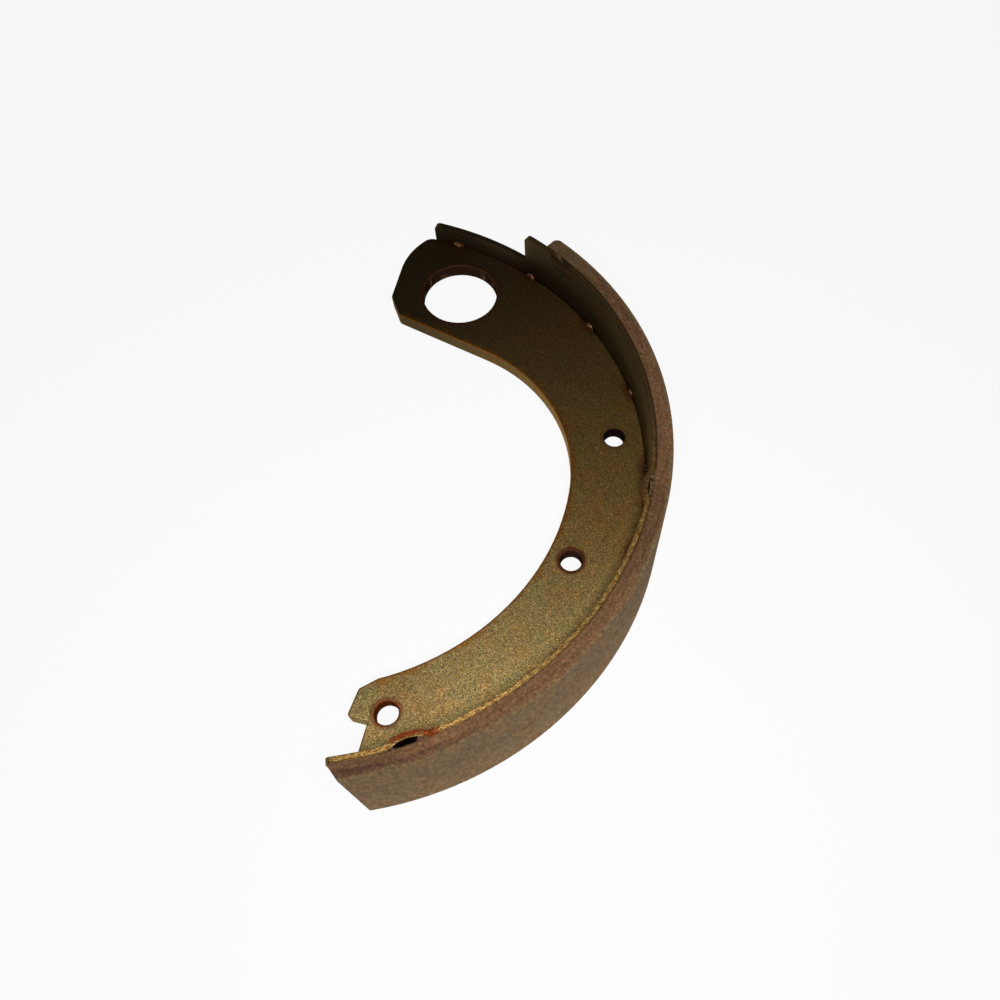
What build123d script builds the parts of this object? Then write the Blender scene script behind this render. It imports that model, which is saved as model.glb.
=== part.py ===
from build123d import *

import os
from math import atan2, cos, degrees, radians, sin, sqrt

# A drum brake shoe: a pressed web, a rolled table, a bonded lining and the welds between web and table.
#
# The origin is on the brake drum's axis, in the plane of the edge that the shoe lies on. +Z runs
# along the drum's axis and +Y points from it to the middle of the anchor bore. Sizes are in
# millimetres and degrees. Angles are measured about the drum's axis from +X, and a "depth" is
# measured inwards from the inner face of the table.

# Drum and lining
drum_radius = 114.3             # the lining's ground face, for a 9 inch drum
shoe_width = 44.45              # table and lining, across
lining_thickness = 5.4
lining_heel_angle = 75.7        # where the lining stops at the anchor end
lining_toe_angle = -54.1        # where its ground face stops at the toe end
lining_seat_angle = -55.7       # where its bonded face stops at the toe end, just short of the table's end
lining_heel_radius = 2.4        # rounding of the ground face's corner at either end
lining_toe_radius = 0.8

# Table: the rolled strip that carries the lining
table_thickness = 1.9
table_toe_angle = -55.9
table_step_angle = 80.7         # where the full width ends and the narrow tab begins
tab_end_angle = 102.1
tab_width = 18.8
table_corner_radius = 2.2       # where the full width ends, and at the tab's end
toe_corner_radius = 1.6

# Nibs: stretches of the table's upper edge, pushed inwards by a round punch
nib_angles = (-43.9, 16.2, 70.5)
nib_depth = 1.9
nib_length = 12.4               # along the table, where the punch goes in

# Web: the flat crescent that stands on the table's inner face
web_thickness = 5.0
web_level = 23.25               # middle of the web, above the edge that the shoe lies on
web_depth = 26.1                # depth of the crescent's inner arc
web_toe_angle = -54.0
die_roll = 0.6                  # rounding that the punch leaves on the upper face
knee_radius = 57.0              # from the heel's straight edge into the crescent's inner arc

# Anchor end, round the bore that the shoe turns on
anchor_bore_radius = 14.0
anchor_bore_depth = 22.5        # of the bore's centre
heel_wall_below = 5.9           # between the bore and the heel's straight edge
heel_wall_beside = 14.8         # between the bore and the outline's shoulder, before its rounding
heel_shoulder_depth = 14.0
heel_shoulder_radius = 26.5
heel_top_reach = 11.15          # beyond the bore's side, where the outline leaves the table
heel_corner_reach = 8.2         # beyond the bore's side, where the outline turns under the bore
heel_corner_rise = 6.4          # above the heel's straight edge
heel_foot_reach = 1.0           # beyond the bore's side, where the straight edge begins
heel_top_radius = 4.5
heel_corner_radius = 3.0

# Toe end: a hook that overhangs the notch for the wheel cylinder's link
toe_arc_angle = -47.5           # where the inner arc ends
hook_back = (24.3, -51.8)       # depth and angle of each corner
hook_tip = (16.2, -54.6)
notch_corner = (13.4, -50.85)
hook_radius = 1.4
notch_radius = 0.6

# Holes for the springs and the hold-down: depth and angle of each
small_hole_radius = 3.6
small_holes = {"heel_spring": (10.3, 33.1), "hold_down": (17.8, 1.75), "toe_spring": (14.7, -47.2)}

# Welds, at an even pitch along both faces of the web
weld_count = 9
weld_first_angle = -45.4
weld_pitch_angle = 17.8
weld_length = 4.4
weld_leg = 1.3                  # reach of the bead along the table and across the web
weld_taper_angle = 18.0         # how steeply the bead narrows towards its ends

# Sizes that follow
table_outer = drum_radius - lining_thickness
table_inner = table_outer - table_thickness
web_bottom = web_level - web_thickness / 2
web_inner = table_inner - web_depth
anchor_y = table_inner - anchor_bore_depth
heel_edge_y = anchor_y - anchor_bore_radius - heel_wall_below


def polar(radius, angle):
    """The point at a radius and an angle about the drum's axis."""
    return radius * cos(radians(angle)), radius * sin(radians(angle))


def at_depth(place):
    """The point of the web at a depth and an angle."""
    depth, angle = place
    return polar(table_inner - depth, angle)


def curved_strip(inner_radius, outer_radius, toe_angle, heel_angle, outer_toe_angle=None):
    """The end view of a strip rolled about the drum's axis. Its toe may be cut at a slant."""
    outer_start = toe_angle if outer_toe_angle is None else outer_toe_angle
    with BuildSketch() as strip:
        with BuildLine():
            inner = CenterArc((0, 0), inner_radius, toe_angle, heel_angle - toe_angle)
            outer = CenterArc((0, 0), outer_radius, outer_start, heel_angle - outer_start)
            Line(inner @ 0, outer @ 0)
            Line(inner @ 1, outer @ 1)
        make_face()
    return strip.sketch


# ---- Web: stamped from plate, so its upper edges are rolled over and its lower edges are sharp ----
heel_top_x = -anchor_bore_radius - heel_top_reach
heel_top = (heel_top_x, sqrt(table_inner**2 - heel_top_x**2))
web_heel_angle = degrees(atan2(heel_top[1], heel_top[0]))
heel_shoulder = (-anchor_bore_radius - heel_wall_beside, table_inner - heel_shoulder_depth)
heel_corner = (-anchor_bore_radius - heel_corner_reach, heel_edge_y + heel_corner_rise)
heel_foot = (-anchor_bore_radius - heel_foot_reach, heel_edge_y)
# The knee touches both the straight edge and the inner arc, which sets where its centre is
knee_x = sqrt((web_inner - knee_radius) ** 2 - (heel_edge_y - knee_radius) ** 2)
knee_centre = (knee_x, heel_edge_y - knee_radius)
knee_angle = degrees(atan2(knee_centre[1], knee_centre[0]))
toe_end = polar(table_inner, web_toe_angle)

with BuildPart() as web:
    with BuildSketch(Plane.XY.offset(web_bottom)) as web_outline:
        with BuildLine():
            CenterArc((0, 0), table_inner, web_toe_angle, web_heel_angle - web_toe_angle)
            Polyline(heel_top, heel_shoulder, heel_corner, heel_foot, (knee_x, heel_edge_y))
            CenterArc(knee_centre, knee_radius, knee_angle, 90 - knee_angle)
            inner_arc = CenterArc((0, 0), web_inner, toe_arc_angle, knee_angle - toe_arc_angle)
            Polyline(inner_arc @ 0, at_depth(hook_back), at_depth(hook_tip), at_depth(notch_corner), toe_end)
        make_face()
        fillet(web_outline.vertices().sort_by_distance(heel_shoulder)[0], heel_shoulder_radius)
        fillet(web_outline.vertices().sort_by_distance(heel_top)[0], heel_top_radius)
        for corner in (heel_corner, heel_foot):
            fillet(web_outline.vertices().sort_by_distance(corner)[0], heel_corner_radius)
        for corner in (hook_back, hook_tip):
            fillet(web_outline.vertices().sort_by_distance(at_depth(corner))[0], hook_radius)
        fillet(web_outline.vertices().sort_by_distance(at_depth(notch_corner))[0], notch_radius)
        with Locations((0, anchor_y)):
            Circle(anchor_bore_radius, mode=Mode.SUBTRACT)
        with Locations(*[at_depth(place) for place in small_holes.values()]):
            Circle(small_hole_radius, mode=Mode.SUBTRACT)
    extrude(amount=web_thickness)
    upper_edges = web.faces().sort_by(Axis.Z)[-1].edges()
    welded_edge = upper_edges.sort_by_distance(polar(table_inner, 0) + (web_bottom + web_thickness,))[0]
    fillet(upper_edges - ShapeList([welded_edge]), die_roll)
web.part.label = "web"

# ---- Table: a rolled strip, narrowed to a tab at the anchor end, with nibs in its upper edge ----
# A ball of this radius goes nib_depth into the outer face and leaves a dent nib_length long
punch_radius = (nib_length**2 / 4 + nib_depth**2) / (2 * nib_depth)
punch_centre_radius = table_outer + punch_radius - nib_depth
nib_centres = [polar(punch_centre_radius, angle) + (shoe_width,) for angle in nib_angles]

with BuildPart() as nib_shells:
    with Locations(*nib_centres):
        Sphere(punch_radius + table_thickness)
    with BuildSketch(Plane.XY.offset(shoe_width / 2)):
        add(curved_strip(web_inner, table_outer, table_toe_angle, table_step_angle))
    extrude(amount=shoe_width / 2, mode=Mode.INTERSECT)

with BuildPart() as table:
    with BuildSketch(Plane.XY):
        add(curved_strip(table_inner, table_outer, table_toe_angle, table_step_angle))
    extrude(amount=shoe_width)
    corners = table.edges().filter_by(GeomType.LINE).filter_by(Plane.XY).sort_by(Axis.Y)
    fillet(corners[:2], toe_corner_radius)
    fillet(corners[-2:], table_corner_radius)
    with BuildSketch(Plane.XY.offset(web_level - tab_width / 2)):
        add(curved_strip(table_inner, table_outer, table_toe_angle, tab_end_angle))
    extrude(amount=tab_width)
    tab_corners = table.edges().filter_by(GeomType.LINE).filter_by(Plane.XY).sort_by(Axis.X)[:2]
    fillet(tab_corners, table_corner_radius)
    add(nib_shells.part)
    with Locations(*nib_centres):
        Sphere(punch_radius, mode=Mode.SUBTRACT)
table.part.label = "table"

# ---- Lining: a moulded friction block, bonded to the table's outer face ----
with BuildPart() as lining:
    with BuildSketch(Plane.XY):
        add(curved_strip(table_outer, drum_radius, lining_seat_angle, lining_heel_angle, lining_toe_angle))
    extrude(amount=shoe_width)
    for angle, radius in ((lining_heel_angle, lining_heel_radius), (lining_toe_angle, lining_toe_radius)):
        corner = polar(drum_radius, angle) + (shoe_width / 2,)
        fillet(lining.edges().filter_by(Axis.Z).sort_by_distance(corner)[0], radius)
lining.part.label = "lining"

# ---- Welds: short beads in the corner between web and table, on both faces of the web ----
# Each is a bar of eight sides that narrows both ways from its middle, cut back to the corner it fills
with BuildPart() as welds:
    for number in range(weld_count):
        angle = weld_first_angle + number * weld_pitch_angle
        for level in (web_bottom, web_bottom + web_thickness):
            across_bead = Plane(
                origin=polar(table_inner, angle) + (level,),
                x_dir=(0, 0, 1),
                z_dir=(-sin(radians(angle)), cos(radians(angle)), 0),
            )
            with BuildSketch(across_bead):
                RegularPolygon(weld_leg, side_count=8)
            extrude(amount=weld_length / 2, both=True, taper=weld_taper_angle)
    with BuildSketch(Plane.XY):
        Circle(table_inner)
    extrude(amount=shoe_width, mode=Mode.INTERSECT)
    with BuildSketch(Plane.XY.offset(web_bottom)):
        Circle(drum_radius)
    extrude(amount=web_thickness, mode=Mode.SUBTRACT)
welds.part.label = "welds"

os.makedirs("parts", exist_ok=True)
for piece in (web, table, lining, welds):
    export_step(piece.part, f"parts/{piece.part.label}.step")
    size = piece.part.bounding_box().size
    print(f"{piece.part.label}: {len(piece.part.solids())} solids, {piece.part.volume:.0f} mm3,"
          f" {size.X:.1f} x {size.Y:.1f} x {size.Z:.1f} mm")
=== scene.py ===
# %% [markdown]
# # A drum brake shoe, dressed for its portrait
#
# The shoe is four things: a flat steel web, a rolled steel table, a bonded friction lining and the
# short weld beads between web and table. Their shapes come ready made from the CAD model, so this
# lesson is mostly about finishes: yellow zinc plating, sheared edges, weld scorch, moulded lining.
# Two small things are modelled on top with Geometry Nodes: weld beads with an uneven skin, and the
# adhesive that was squeezed out between table and lining. The frame is loaded first, because every
# piece and every pattern is placed from its sizes.

# %% Load the CAD frame
import math

import bpy
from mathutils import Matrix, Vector


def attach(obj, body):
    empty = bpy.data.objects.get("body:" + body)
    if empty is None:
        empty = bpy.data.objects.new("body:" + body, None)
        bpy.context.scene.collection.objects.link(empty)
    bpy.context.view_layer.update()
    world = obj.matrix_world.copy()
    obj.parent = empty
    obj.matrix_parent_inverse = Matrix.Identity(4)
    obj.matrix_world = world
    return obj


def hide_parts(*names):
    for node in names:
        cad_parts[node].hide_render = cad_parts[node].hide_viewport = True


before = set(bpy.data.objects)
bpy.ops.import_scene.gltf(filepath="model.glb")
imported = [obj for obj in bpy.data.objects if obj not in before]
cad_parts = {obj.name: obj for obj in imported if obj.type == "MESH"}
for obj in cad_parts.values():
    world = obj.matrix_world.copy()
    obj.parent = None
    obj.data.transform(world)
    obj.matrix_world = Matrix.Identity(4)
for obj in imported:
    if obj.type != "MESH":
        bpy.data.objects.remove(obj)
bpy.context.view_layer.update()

MM = 0.001
web, table, lining = (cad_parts[name] for name in ("web", "table", "lining"))

# %% [markdown]
# The drum's axis runs up through the origin, so a distance from the axis and an angle about it say
# where on the shoe a point is. The toe end lies at -56 degrees and the anchor end past 100. The
# sizes below repeat the ones that the CAD model was made with. Patterns use them to find the bore,
# the spring holes, the nibs, the welds and the rolled table.

# %% Sizes of the shoe
TABLE_INNER = 107.0 * MM
TABLE_OUTER = 108.9 * MM
DRUM_RADIUS = 114.3 * MM
SHOE_WIDTH = 44.45 * MM
WEB_INNER = 80.9 * MM
KNEE_RADIUS, KNEE_CENTRE = 57.0 * MM, (22.66 * MM, 7.6 * MM)
WEB_LOWER, WEB_UPPER = 20.75 * MM, 25.75 * MM
BORE_CENTRE, BORE_RADIUS = (0.0, 84.5 * MM), 14.0 * MM
HOLE_RADIUS = 3.6 * MM
HOLE_PLACES = ((96.7 * MM, 33.1), (89.2 * MM, 1.75), (92.3 * MM, -47.2))
NIB_ANGLES = (-43.9, 16.2, 70.5)
NIB_HALF_LENGTH, NIB_DEPTH = 6.2 * MM, 1.9 * MM
WELD_COUNT, WELD_FIRST, WELD_PITCH = 9, math.radians(-45.4), math.radians(17.8)
WELD_LENGTH, WELD_LEG = 4.4 * MM, 1.3 * MM
hole_centres = [(radius * math.cos(math.radians(angle)), radius * math.sin(math.radians(angle)))
                for radius, angle in HOLE_PLACES]
print("spring holes at, mm:", [tuple(round(v / MM, 1) for v in place) for place in hole_centres])

# %% [markdown]
# A material is a small calculation that runs at every point of a surface. Writing it as nodes by
# hand takes many lines, so these helpers say one step each. `put` adds any node, `calc` does a sum
# and `vector_calc` a sum on vectors. `fade` turns a value into a mask from 0 to 1, and `times`
# multiplies masks. `grain` is a cloud of noise of a given size, `tint` lays a colour over another
# through a mask, and `shade` darkens or brightens a colour.

# %% Helpers that add nodes
def put(tree, kind, inputs=None, **settings):
    """Adds a node, sets its options, and fills its inputs with values or with other nodes' outputs."""
    node = tree.nodes.new(kind)
    for name, value in settings.items():
        setattr(node, name, value)
    for name, value in (inputs or {}).items():
        if isinstance(value, bpy.types.NodeSocket):
            tree.links.new(value, node.inputs[name])
        else:
            node.inputs[name].default_value = value
    return node


def calc(tree, operation, *values):
    """One sum: the result of a Math node."""
    return put(tree, "ShaderNodeMath", dict(enumerate(values)), operation=operation).outputs[0]


def vector_calc(tree, operation, *values, **named):
    """One sum on vectors: the result of a Vector Math node."""
    inputs = {**dict(enumerate(values)), **named}
    return put(tree, "ShaderNodeVectorMath", inputs, operation=operation).outputs[0]


def vector(tree, x=0.0, y=0.0, z=0.0):
    """Three numbers made into one vector."""
    return put(tree, "ShaderNodeCombineXYZ", {"X": x, "Y": y, "Z": z}).outputs[0]


def parts_of(tree, place):
    """The x, y and z of a vector."""
    return put(tree, "ShaderNodeSeparateXYZ", {"Vector": place}).outputs


print("helpers: put, calc, vector_calc, vector, parts_of")

# %% Helpers for masks and colours
def times(tree, first, *others):
    """The product of two or more values, so a mask that is 1 only where all of them are."""
    for other in others:
        first = calc(tree, "MULTIPLY", first, other)
    return first


def fade(tree, value, start, end, low=0.0, high=1.0):
    """Runs smoothly from low to high while the value runs from start to end."""
    inputs = {"Value": value, "From Min": start, "From Max": end, "To Min": low, "To Max": high}
    return put(tree, "ShaderNodeMapRange", inputs, interpolation_type="SMOOTHSTEP").outputs[0]


def grain(tree, place, size, detail=2.0, roughness=0.5, stretch=(1, 1, 1), seed=0.0):
    """Noise whose lumps are about `size` metres across, longer along an axis with a small stretch."""
    inputs = {"Vector": place, "Location": (seed, seed, seed), "Scale": stretch}
    moved = put(tree, "ShaderNodeMapping", inputs).outputs[0]
    inputs = {"Vector": moved, "Scale": 1 / size, "Detail": detail, "Roughness": roughness}
    return put(tree, "ShaderNodeTexNoise", inputs).outputs["Fac"]


def tint(tree, below, above, mask, blend="MIX"):
    """Lays the colour above over the colour below where the mask is 1."""
    node = put(tree, "ShaderNodeMix", data_type="RGBA", blend_type=blend)
    for socket, value in ((node.inputs[0], mask), (node.inputs[6], below), (node.inputs[7], above)):
        if isinstance(value, bpy.types.NodeSocket):
            tree.links.new(value, socket)
        else:
            socket.default_value = value if isinstance(value, float) else (*value, 1.0)
    return node.outputs[2]


def shade(tree, colour, level):
    """Multiplies a colour by a grey level."""
    grey = put(tree, "ShaderNodeCombineColor", dict.fromkeys(("Red", "Green", "Blue"), level))
    return tint(tree, colour, grey.outputs[0], 1.0, "MULTIPLY")


print("helpers: times, fade, grain, tint, shade")

# %% Helpers that begin and end a finish
def new_finish(name):
    """A material with only its output left, and the object coordinates that its patterns read."""
    finish = bpy.data.materials.new(name)
    finish.use_nodes = True
    tree = finish.node_tree
    for node in list(tree.nodes):
        if node.type != "OUTPUT_MATERIAL":
            tree.nodes.remove(node)
    place = put(tree, "ShaderNodeTexCoord").outputs["Object"]
    return finish, tree, place


def finish_with(tree, shader):
    """Links a shader to the material's output."""
    output = next(node for node in tree.nodes if node.type == "OUTPUT_MATERIAL")
    tree.links.new(shader.outputs[0], output.inputs["Surface"])


def bumped(tree, height, depth):
    """A surface normal that follows a height, of `depth` metres at a height of 1."""
    inputs = {"Height": height, "Distance": depth, "Strength": 1.0}
    return put(tree, "ShaderNodeBump", inputs).outputs[0]


def shine(tree, inputs):
    """Ends a finish with the usual shader."""
    finish_with(tree, put(tree, "ShaderNodeBsdfPrincipled", inputs))


print("helpers: new_finish, finish_with, bumped, shine")

# %% [markdown]
# The next helpers answer "where am I on the shoe?" from a point's own coordinates: how far from the
# drum's axis, at what angle round it, how near to a hole, and how near to a weld. Because the shoe
# is one arc about that axis, these few answers place every rim, ring and scorch mark. `unrolled`
# lays the arc out straight, so that a grain can run along it, and `upward` tells faces from walls.

# %% Helpers that find places on the shoe
def length_of(tree, *parts):
    """The length of the vector that has these parts."""
    total, *others = [calc(tree, "MULTIPLY", part, part) for part in parts]
    for other in others:
        total = calc(tree, "ADD", total, other)
    return calc(tree, "SQRT", total)


def where(tree, place):
    """The point's x, y, z, its distance from the drum's axis and its angle about it, in degrees."""
    x, y, z = parts_of(tree, place)
    return x, y, z, length_of(tree, x, y), calc(tree, "DEGREES", calc(tree, "ARCTAN2", y, x))


def unrolled(tree, radius, angle, z, at):
    """The place with the arc of radius `at` laid out straight along Y."""
    along = calc(tree, "MULTIPLY", calc(tree, "RADIANS", angle), at)
    return vector(tree, radius, along, z)


def upward(tree):
    """1 where the surface faces up, 0 on a wall and -1 where it faces down."""
    return parts_of(tree, put(tree, "ShaderNodeNewGeometry").outputs["Normal"])[2]


def from_centre(tree, x, y, centre):
    """How far a point is from an upright line."""
    return length_of(tree, calc(tree, "SUBTRACT", x, centre[0]), calc(tree, "SUBTRACT", y, centre[1]))


# a scorch mark is longer along the weld than across it
SCORCH_STRETCH, SCORCH_STRENGTH = 0.4, 0.8


def near_welds(tree, radius, angle, z, reach):
    """How scorched a place is: most at a weld, and 0 from `reach` metres away, for all the welds."""
    first, pitch = math.degrees(WELD_FIRST), math.degrees(WELD_PITCH)
    turns = calc(tree, "DIVIDE", calc(tree, "SUBTRACT", angle, first), pitch)
    beside = calc(tree, "SUBTRACT", turns, calc(tree, "ROUND", turns))
    along = calc(tree, "MULTIPLY", beside, WELD_PITCH * TABLE_INNER * math.sqrt(SCORCH_STRETCH))
    inward = calc(tree, "SUBTRACT", radius, TABLE_INNER)
    level = calc(tree, "SUBTRACT", z, (WEB_LOWER + WEB_UPPER) / 2)
    away = length_of(tree, along, inward, level)
    return fade(tree, away, reach, (WEB_UPPER - WEB_LOWER) / 2, high=SCORCH_STRENGTH)


print("one weld every", round(WELD_PITCH * TABLE_INNER / MM, 1), "mm along the table")

# %% [markdown]
# ## Yellow zinc plate
#
# Web and table are zinc plated and then dipped in a yellow passivate, which leaves an olive-gold
# skin of tiny crystals that glitter. A flat gold with a rough shine would be simpler, but the
# glitter and the drifting hue are what the eye reads as plating. Here every crystal is a Voronoi
# cell: its random colour value picks olive, gold or a greyed pink, and also leans the surface a
# little, so that some crystals catch the lamp and most don't. Clouds of orange brown drift over
# them. Towards the anchor end the colour is painted darker, as a painted reflection of the dim room.

# %% The plating that web and table share
CRYSTAL = 0.25 * MM
OLIVE, GOLD, GREY_PINK = (0.245, 0.198, 0.062), (0.47, 0.320, 0.125), (0.42, 0.285, 0.21)
ORANGE_BROWN, CLOUD = (0.33, 0.13, 0.022), 14 * MM
# multiplied over the colour, the first two in patches of the drift's size
REDDER, GREENER, WARMER = (1.12, 0.96, 0.86), (0.95, 1.02, 0.93), (1.02, 0.87, 0.70)
DRIFT = 7 * MM
# angles over which the warm colour comes in, then goes, and over which a painted reflection of the dim room
# darkens the metal
WARM_IN, WARM_OUT, DARKENING = (-12.0, 14.0), (95.0, 72.0), (8.0, 100.0)
PAINTED_DIM_REFLECTION = (0.056, 0.034, 0.024)
# how far a crystal may lean, against a normal of length 1
LEAN = 0.17
GRAZING_TINT = (0.90, 0.76, 0.54, 1.0)


def plating(tree, place, angle, warmth):
    """The colour of the plating, its roughness and the lean of its crystals."""
    cells = put(tree, "ShaderNodeTexVoronoi", {"Vector": place, "Scale": 1 / CRYSTAL}, feature="F1")
    chance, second, third = put(tree, "ShaderNodeSeparateColor", {"Color": cells.outputs["Color"]}).outputs
    colour = tint(tree, OLIVE, GOLD, fade(tree, chance, 0.15, 0.95))
    colour = tint(tree, colour, GREY_PINK, fade(tree, second, 0.70, 1.0, high=0.8))
    clouds = grain(tree, place, CLOUD, detail=3.0, seed=8.1)
    colour = tint(tree, colour, ORANGE_BROWN, fade(tree, clouds, 0.50, 0.80, high=0.35))
    drift = grain(tree, place, DRIFT, detail=3.0, roughness=0.6, seed=3.7)
    colour = tint(tree, colour, REDDER, fade(tree, drift, 0.50, 0.68), "MULTIPLY")
    colour = tint(tree, colour, GREENER, fade(tree, drift, 0.50, 0.34), "MULTIPLY")
    warm = times(tree, fade(tree, angle, *WARM_IN, high=warmth), fade(tree, angle, *WARM_OUT))
    colour = tint(tree, colour, WARMER, warm, "MULTIPLY")
    # painted reflection: the colour is darkened towards the anchor end, standing in for the dim room the
    # metal mirrors
    colour = tint(tree, colour, PAINTED_DIM_REFLECTION, fade(tree, angle, *DARKENING, high=0.75))
    rough = fade(tree, third, 0.75, 1.0, low=0.55, high=0.38)
    lean = vector_calc(tree, "SUBTRACT", cells.outputs["Color"], (0.5, 0.5, 0.5))
    return colour, rough, vector_calc(tree, "SCALE", lean, Scale=LEAN)


def shine_metal(tree, colour, rough, lean, height, depth, metallic=1.0):
    """Ends a plated finish: bump first, and each crystal's lean added to it."""
    tilted = vector_calc(tree, "ADD", bumped(tree, height, depth), lean)
    shine(tree, {"Base Color": colour, "Metallic": metallic, "Roughness": rough,
                 "Normal": vector_calc(tree, "NORMALIZE", tilted),
                 "Specular IOR Level": 0.0, "Specular Tint": GRAZING_TINT})


print("crystals across the web's width:", round((TABLE_INNER - WEB_INNER) / CRYSTAL))

# %% [markdown]
# The web's own finish adds what belongs to its outline. Its long inner edge runs in three stretches:
# the crescent's arc about the drum's axis, the knee's smaller arc, and the heel's straight edge. The
# distance to that edge draws a patchy orange-brown line where the press tool sheared the plate. The
# sheared walls are duller than the faces, and their colour is painted darker still, as shade. The
# punched holes have burnt red rims, and walls from near black at the anchor end to red brown at the
# toe. Inside the bore, most of the wall is dark brown, with tan patches. On these dark walls the
# shader's Metallic falls to 0. Masks could also be painted by hand, but a distance measured from the
# outline follows it exactly, on any mesh.

# %% Distance from the web's inner edge
def pick(tree, first, second, choice):
    """The first value where the choice is 0, the second where it is 1."""
    return put(tree, "ShaderNodeMix", {0: choice, 2: first, 3: second}, data_type="FLOAT").outputs[0]


def from_inner_edge(tree, x, y, radius, angle):
    """How far a point of the web is from the crescent's arc, the knee or the heel's straight edge."""
    crescent = calc(tree, "SUBTRACT", radius, WEB_INNER)
    knee = calc(tree, "SUBTRACT", from_centre(tree, x, y, KNEE_CENTRE), KNEE_RADIUS)
    straight = calc(tree, "SUBTRACT", y, KNEE_CENTRE[1] + KNEE_RADIUS)
    distance = pick(tree, crescent, knee, calc(tree, "GREATER_THAN", angle, KNEE_BEGINS))
    return pick(tree, distance, straight, calc(tree, "LESS_THAN", x, KNEE_CENTRE[0]))


KNEE_BEGINS = math.degrees(math.atan2(KNEE_CENTRE[1], KNEE_CENTRE[0]))
print("the knee begins at", round(KNEE_BEGINS, 1), "degrees")

# %% The web's faces and walls
SCORCH, ROLLED_ORANGE = (0.15, 0.045, 0.015), (0.24, 0.10, 0.022)
# the reach of the orange rim, from its narrowest patch to its widest
RIM_REACH = (0.9 * MM, 3.6 * MM)
WEB_SCORCH_REACH = 5.2 * MM
WALL_SHADE, HEEL_SHADE, TOE_SHADE, BESIDE_TABLE_SHADE = 0.68, 0.58, 0.95, 1.14
# the heel's shade comes in along x, the toe's along the angle
HEEL_STRETCH, TOE_STRETCH = (20 * MM, -28 * MM), (-30.0, -38.0)
# the table throws light on the web beside it, over these radii and up to these angles
BESIDE_TABLE, BESIDE_TABLE_ENDS = (98 * MM, 102 * MM), (14.0, 2.0)


def web_faces(tree, spot, colour, patches):
    """Adds the rims, the weld scorch and the slow changes of level to the web's plating."""
    x, y, z, radius, angle = spot
    level = calc(tree, "ABSOLUTE", upward(tree))
    wall = fade(tree, level, 0.5, 0.2)
    reach = fade(tree, patches, 0.35, 0.65, *RIM_REACH)
    inner_edge = from_inner_edge(tree, x, y, radius, angle)
    rim = fade(tree, calc(tree, "DIVIDE", inner_edge, reach), 1.0, 0.2, high=0.8)
    colour = tint(tree, colour, ORANGE_BROWN, times(tree, rim, calc(tree, "SUBTRACT", 1.0, wall)))
    rolled = times(tree, fade(tree, level, 0.995, 0.90), fade(tree, level, 0.1, 0.4),
                   fade(tree, patches, 0.45, 0.62, high=0.7))
    colour = tint(tree, colour, ROLLED_ORANGE, rolled)
    welds = near_welds(tree, radius, angle, z, WEB_SCORCH_REACH)
    colour = tint(tree, colour, SCORCH, welds)
    # painted shade: the walls' colour is darkened, on top of their duller finish
    colour = shade(tree, colour, fade(tree, wall, 0.0, 1.0, low=1.0, high=WALL_SHADE))
    colour = shade(tree, colour, fade(tree, x, *HEEL_STRETCH, low=1.0, high=HEEL_SHADE))
    beside_table = times(tree, fade(tree, radius, *BESIDE_TABLE), fade(tree, angle, *BESIDE_TABLE_ENDS))
    colour = shade(tree, colour, fade(tree, beside_table, 0.0, 1.0, low=1.0, high=BESIDE_TABLE_SHADE))
    return shade(tree, colour, fade(tree, angle, *TOE_STRETCH, low=1.0, high=TOE_SHADE)), wall


print("orange rim up to", RIM_REACH[1] / MM, "mm wide")

# %% The web's holes and bore
# rings and walls of the three spring holes, from the anchor end to the toe
RING_RED, RING_STRENGTH = (0.15, 0.032, 0.010), (0.35, 1.0, 0.75)
HOLE_WALLS = ((0.012, 0.006, 0.004), (0.045, 0.020, 0.014), (0.13, 0.030, 0.008))
BORE_BROWN, BORE_TAN, BORE_SPOT = (0.026, 0.012, 0.007), (0.12, 0.070, 0.040), 5.0 * MM
# where rings and walls begin and are full, measured outwards from the hole's radius
HOLE_RING, HOLE_WALL = (2.1 * MM, 0.6 * MM), (0.60 * MM, 0.25 * MM)
BORE_RING, BORE_WALL = (2.6 * MM, 0.4 * MM), (0.45 * MM, 0.10 * MM)


def round_hole(tree, away, radius, band, strength=1.0):
    """A mask round a hole, from 0 at the band's outer distance to its strength at the inner one."""
    return fade(tree, away, radius + band[0], radius + band[1], high=strength)


def web_holes(tree, place, x, y, colour, patches):
    """Adds the rings and walls of the holes and of the bore, and says where bare metal is left."""
    bare = 1.0
    for centre, strength, wall_colour in zip(hole_centres, RING_STRENGTH, HOLE_WALLS):
        away = from_centre(tree, x, y, centre)
        ring = times(tree, round_hole(tree, away, HOLE_RADIUS, HOLE_RING, strength),
                     fade(tree, patches, 0.2, 0.6, low=0.6))
        colour = tint(tree, colour, RING_RED, ring)
        inside = round_hole(tree, away, HOLE_RADIUS, HOLE_WALL)
        colour = tint(tree, colour, wall_colour, inside)
        bare = times(tree, bare, calc(tree, "SUBTRACT", 1.0, inside))
    bore = from_centre(tree, x, y, BORE_CENTRE)
    colour = tint(tree, colour, SCORCH, round_hole(tree, bore, BORE_RADIUS, BORE_RING, 0.6))
    in_bore = round_hole(tree, bore, BORE_RADIUS, BORE_WALL)
    spots = grain(tree, place, BORE_SPOT, detail=3.0, roughness=0.6, stretch=(1, 1, 0.4), seed=2.9)
    tan = fade(tree, spots, 0.52, 0.72)
    colour = tint(tree, colour, tint(tree, BORE_BROWN, BORE_TAN, tan), in_bore)
    # the bore's wall is dark brown and not metal, except in the tan patches
    dark_in_bore = times(tree, in_bore, calc(tree, "SUBTRACT", 1.0, tan))
    return colour, times(tree, bare, calc(tree, "SUBTRACT", 1.0, dark_in_bore))


print("walls for", len(HOLE_WALLS), "holes and a bore")

# %% The web's finish, put on
PATCH, TOOL_DRAG, DRAG_DEPTH = 3.5 * MM, 0.5 * MM, 0.05 * MM


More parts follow.
